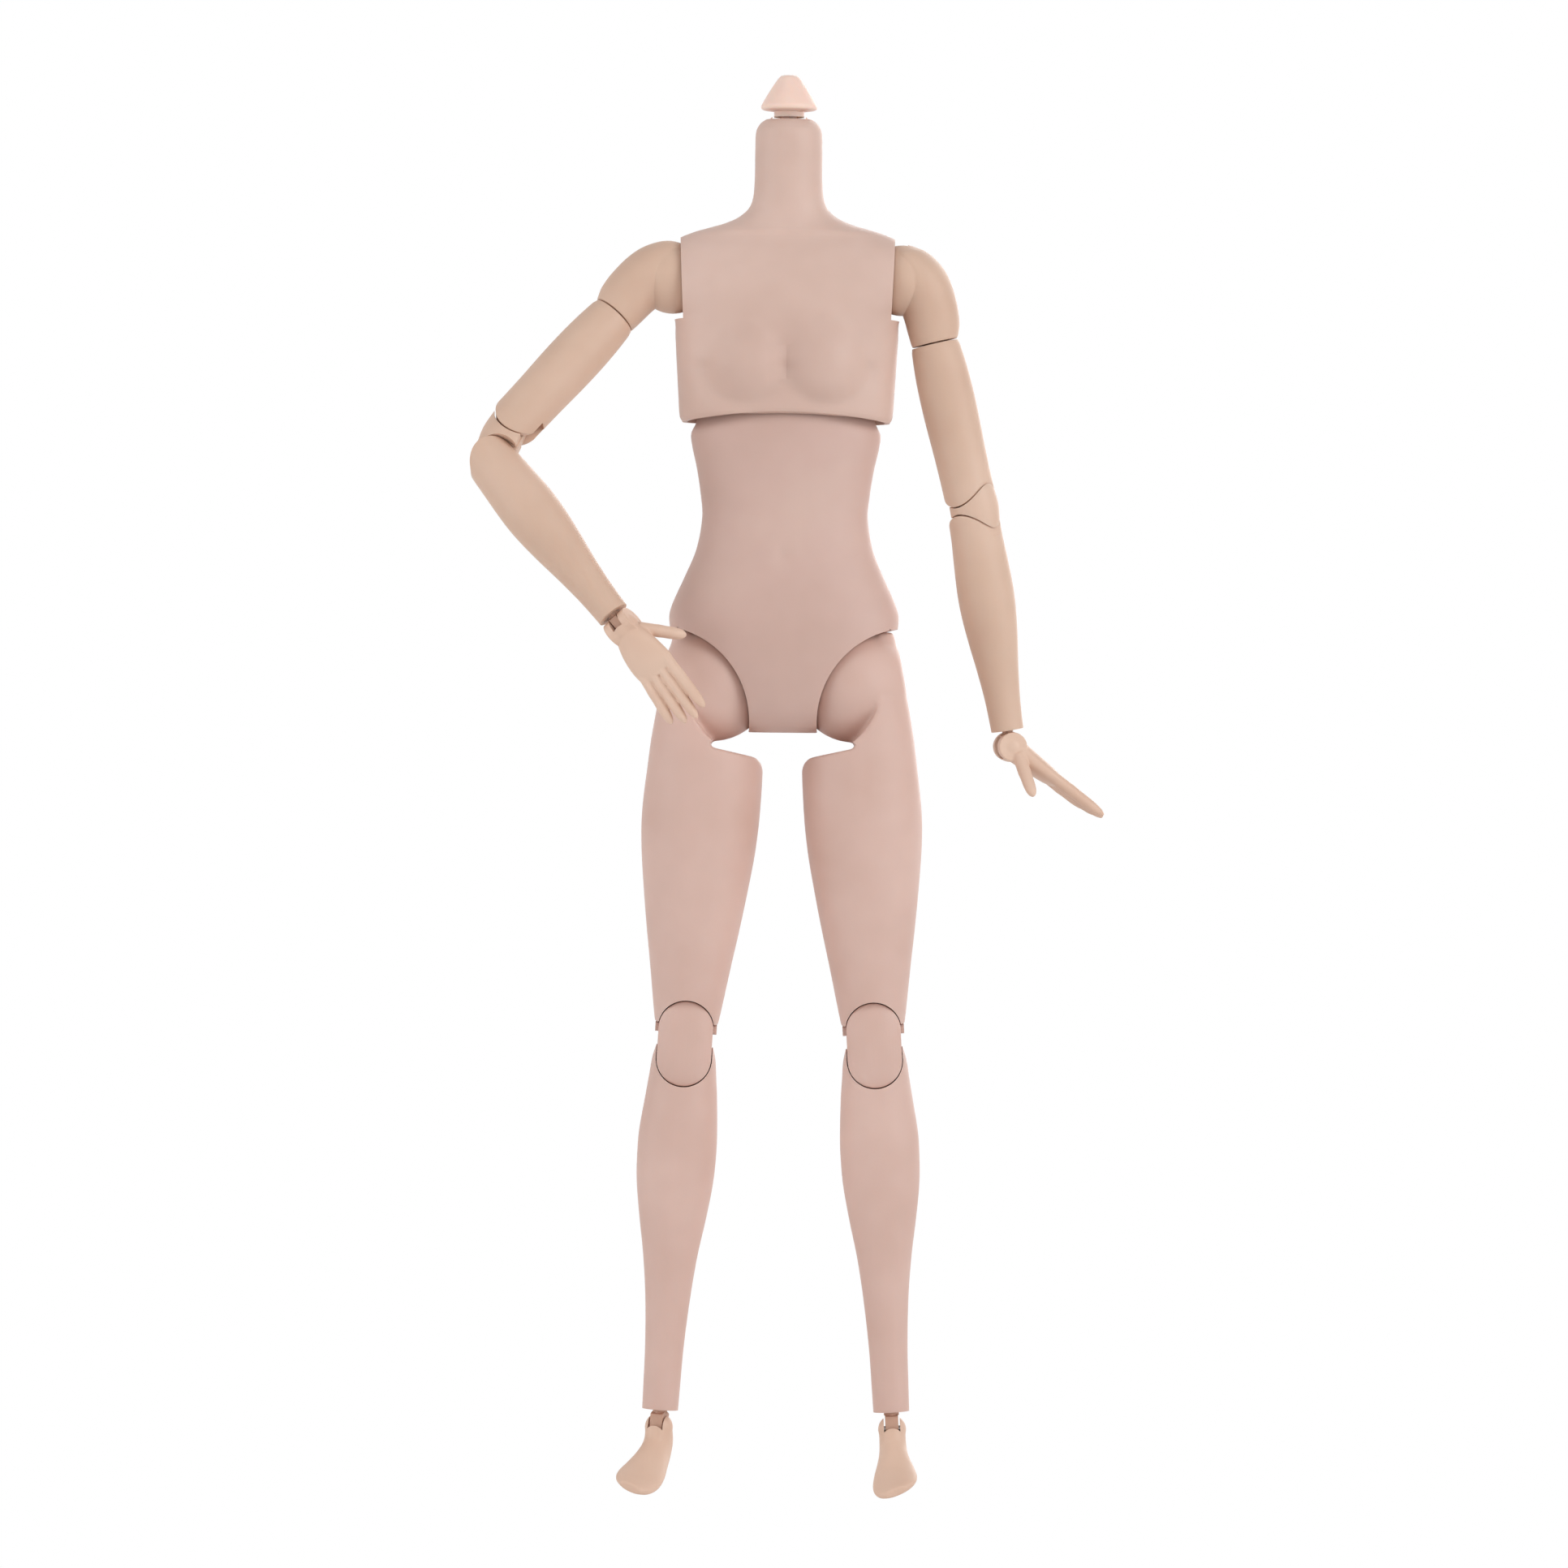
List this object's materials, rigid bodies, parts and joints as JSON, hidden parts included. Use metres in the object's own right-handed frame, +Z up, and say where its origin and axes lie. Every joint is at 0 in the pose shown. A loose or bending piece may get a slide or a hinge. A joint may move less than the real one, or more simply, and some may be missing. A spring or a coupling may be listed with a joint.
{
  "type": "fashion doll body",
  "caption": "Jointed doll body without a head: mushroom neck peg, turning waist, T-jointed shoulders, double-hinged elbows and knees, jointed wrists, hips and ankles.",
  "frame": {"origin": "middle of the waist, where the clip of a doll stand grips", "axes": "+Z up, the doll faces -Y, its left side is +X"},
  "size_m": [0.1176, 0.0392, 0.2618],
  "materials": {
    "skin": "matte moulded skin-tone plastic",
    "arm": "matte moulded skin-tone plastic",
    "vinyl": "satin soft plastic",
    "peg": "satin, slightly see-through plastic",
    "inner": "satin hard plastic",
    "steel": "plain drawn pins"
  },
  "bodies": {
    "pelvis": {"pelvis_front": "skin", "pelvis_back": "skin", "hip_shaft": "steel"},
    "spine": {"spine_post": "inner"},
    "chest": {"chest_front": "skin", "chest_back": "skin", "spine_pin": "steel"},
    "collar": {"neck_collar": "peg", "neck_pin": "steel"},
    "knob": {"neck_knob": "peg"},
    "shoulder_left": {"shoulder_joint_left": "inner"},
    "cap_left": {"shoulder_cap_left": "arm", "shoulder_pin_left": "steel"},
    "biceps_left": {"upper_arm_left": "arm", "elbow_pin_upper_left": "steel"},
    "elbow_left": {"elbow_link_left": "arm"},
    "lower_arm_left": {"forearm_left": "arm", "elbow_pin_lower_left": "steel"},
    "wrist_left": {"wrist_peg_left": "inner"},
    "palm_left": {"hand_left": "vinyl", "wrist_pin_left": "steel"},
    "hip_left": {"hip_swivel_left": "inner"},
    "leg_left": {"thigh_left": "skin", "hip_pin_left": "steel"},
    "knee_left": {"knee_link_left": "vinyl", "knee_pin_upper_left": "steel", "knee_pin_lower_left": "steel"},
    "shin_left": {"calf_left": "skin"},
    "ankle_left": {"ankle_link_left": "inner"},
    "sole_left": {"foot_left": "vinyl", "ankle_pin_left": "steel"},
    "shoulder_right": {"shoulder_joint_right": "inner"},
    "cap_right": {"shoulder_cap_right": "arm", "shoulder_pin_right": "steel"},
    "biceps_right": {"upper_arm_right": "arm", "elbow_pin_upper_right": "steel"},
    "elbow_right": {"elbow_link_right": "arm"},
    "lower_arm_right": {"forearm_right": "arm", "elbow_pin_lower_right": "steel"},
    "wrist_right": {"wrist_peg_right": "inner"},
    "palm_right": {"hand_right": "vinyl", "wrist_pin_right": "steel"},
    "hip_right": {"hip_swivel_right": "inner"},
    "leg_right": {"thigh_right": "skin", "hip_pin_right": "steel"},
    "knee_right": {"knee_link_right": "vinyl", "knee_pin_upper_right": "steel", "knee_pin_lower_right": "steel"},
    "shin_right": {"calf_right": "skin"},
    "ankle_right": {"ankle_link_right": "inner"},
    "sole_right": {"foot_right": "vinyl", "ankle_pin_right": "steel"}
  },
  "joints": [
    {"name": "waist_twist", "type": "hinge", "parent": "pelvis", "child": "spine", "pos_m": [0, 0, 0.024], "axis": [0, 0, 1], "range_deg": [-10, 10]},
    {"name": "waist_bend", "type": "hinge", "parent": "spine", "child": "chest", "pos_m": [0, 0, 0.024], "axis": [1, 0, 0], "range_deg": [-5, 5]},
    {"name": "neck_turn", "type": "hinge", "parent": "chest", "child": "collar", "pos_m": [0, 0, 0.0699], "axis": [0, 0, 1], "range_deg": [-85, 85]},
    {"name": "neck_nod", "type": "hinge", "parent": "collar", "child": "knob", "pos_m": [0, 0, 0.0699], "axis": [1, 0, 0], "range_deg": [-14, 14]},
    {"name": "shoulder_swing_left", "type": "hinge", "parent": "chest", "child": "shoulder_left", "pos_m": [0.0212, 0, 0.0441], "axis": [-1, 0, 0], "range_deg": [-60, 165]},
    {"name": "shoulder_lift_left", "type": "hinge", "parent": "shoulder_left", "child": "cap_left", "pos_m": [0.0212, 0, 0.0441], "axis": [0, -1, 0], "range_deg": [-6, 60]},
    {"name": "biceps_turn_left", "type": "hinge", "parent": "cap_left", "child": "biceps_left", "pos_m": [0.02737, 0, 0.03232], "axis": [-0.2334, 0, 0.9724], "range_deg": [-90, 90]},
    {"name": "elbow_upper_left", "type": "hinge", "parent": "biceps_left", "child": "elbow_left", "pos_m": [0.0333, 0, 0.00762], "axis": [0.625, 0.766, 0.1501], "range_deg": [-3, 60]},
    {"name": "elbow_lower_left", "type": "hinge", "parent": "elbow_left", "child": "lower_arm_left", "pos_m": [0.03549, 0.00036, -0.00336], "axis": [0.625, 0.766, 0.1501], "range_deg": [-2, 60]},
    {"name": "wrist_turn_left", "type": "hinge", "parent": "lower_arm_left", "child": "wrist_left", "pos_m": [0.0421, 0.00251, -0.04184], "axis": [-0.169, -0.0549, 0.9841], "range_deg": [-90, 90]},
    {"name": "wrist_bend_left", "type": "hinge", "parent": "wrist_left", "child": "palm_left", "pos_m": [0.0421, 0.00251, -0.04184], "axis": [-0.2157, 0.9763, 0.0174], "range_deg": [-8, 80]},
    {"name": "hip_swing_left", "type": "hinge", "parent": "pelvis", "child": "hip_left", "pos_m": [0.013, 0, -0.0308], "axis": [-1, 0, 0], "range_deg": [-10, 55]},
    {"name": "hip_spread_left", "type": "hinge", "parent": "hip_left", "child": "leg_left", "pos_m": [0.013, 0, -0.0308], "axis": [0, 1, 0], "range_deg": [-36, 2]},
    {"name": "knee_upper_left", "type": "hinge", "parent": "leg_left", "child": "knee_left", "pos_m": [0.0173, 0, -0.09446], "axis": [0.9983, 0, 0.0576], "range_deg": [0, 60]},
    {"name": "knee_lower_left", "type": "hinge", "parent": "knee_left", "child": "shin_left", "pos_m": [0.01762, 0, -0.10005], "axis": [0.9983, 0, 0.0576], "range_deg": [0, 60]},
    {"name": "ankle_turn_left", "type": "hinge", "parent": "shin_left", "child": "ankle_left", "pos_m": [0.02156, 0, -0.16823], "axis": [-0.0576, 0, 0.9983], "range_deg": [-30, 30]},
    {"name": "ankle_bend_left", "type": "hinge", "parent": "ankle_left", "child": "sole_left", "pos_m": [0.02156, 0, -0.16823], "axis": [0.9983, 0, 0.0576], "range_deg": [-20, 30]},
    {"name": "shoulder_swing_right", "type": "hinge", "parent": "chest", "child": "shoulder_right", "pos_m": [-0.0212, 0, 0.0441], "axis": [-1, 0, 0], "range_deg": [-2, 150]},
    {"name": "shoulder_lift_right", "type": "hinge", "parent": "shoulder_right", "child": "cap_right", "pos_m": [-0.0212, 0, 0.0441], "axis": [0, 0.9563, -0.2924], "range_deg": [-8, 32]},
    {"name": "biceps_turn_right", "type": "hinge", "parent": "cap_right", "child": "biceps_right", "pos_m": [-0.03205, -0.00225, 0.03674], "axis": [-0.6494, -0.2223, -0.7272], "range_deg": [0, 90]},
    {"name": "elbow_upper_right", "type": "hinge", "parent": "biceps_right", "child": "elbow_right", "pos_m": [-0.04854, -0.0079, 0.01827], "axis": [0, -0.9563, 0.2924], "range_deg": [-13, 14]},
    {"name": "elbow_lower_right", "type": "hinge", "parent": "elbow_right", "child": "lower_arm_right", "pos_m": [-0.05328, -0.01087, 0.00856], "axis": [0, -0.9563, 0.2924], "range_deg": [-62, 1]},
    {"name": "wrist_turn_right", "type": "hinge", "parent": "lower_arm_right", "child": "wrist_right", "pos_m": [-0.02926, -0.01989, -0.02094], "axis": [0.6143, -0.2307, -0.7546], "range_deg": [-90, 90]},
    {"name": "wrist_bend_right", "type": "hinge", "parent": "wrist_right", "child": "palm_right", "pos_m": [-0.02926, -0.01989, -0.02094], "axis": [0.6834, -0.3226, 0.6549], "range_deg": [-40, 40]},
    {"name": "hip_swing_right", "type": "hinge", "parent": "pelvis", "child": "hip_right", "pos_m": [-0.013, 0, -0.0308], "axis": [-1, 0, 0], "range_deg": [-6, 20]},
    {"name": "hip_spread_right", "type": "hinge", "parent": "hip_right", "child": "leg_right", "pos_m": [-0.013, 0, -0.0308], "axis": [0, -1, 0], "range_deg": [-36, 2]},
    {"name": "knee_upper_right", "type": "hinge", "parent": "leg_right", "child": "knee_right", "pos_m": [-0.0173, 0, -0.09446], "axis": [0.9983, 0, -0.0576], "range_deg": [0, 60]},
    {"name": "knee_lower_right", "type": "hinge", "parent": "knee_right", "child": "shin_right", "pos_m": [-0.01762, 0, -0.10005], "axis": [0.9983, 0, -0.0576], "range_deg": [0, 60]},
    {"name": "ankle_turn_right", "type": "hinge", "parent": "shin_right", "child": "ankle_right", "pos_m": [-0.02156, 0, -0.16823], "axis": [-0.0576, 0, -0.9983], "range_deg": [-30, 30]},
    {"name": "ankle_bend_right", "type": "hinge", "parent": "ankle_right", "child": "sole_right", "pos_m": [-0.02156, 0, -0.16823], "axis": [0.9381, -0.342, -0.0541], "range_deg": [-20, 30]}
  ]
}
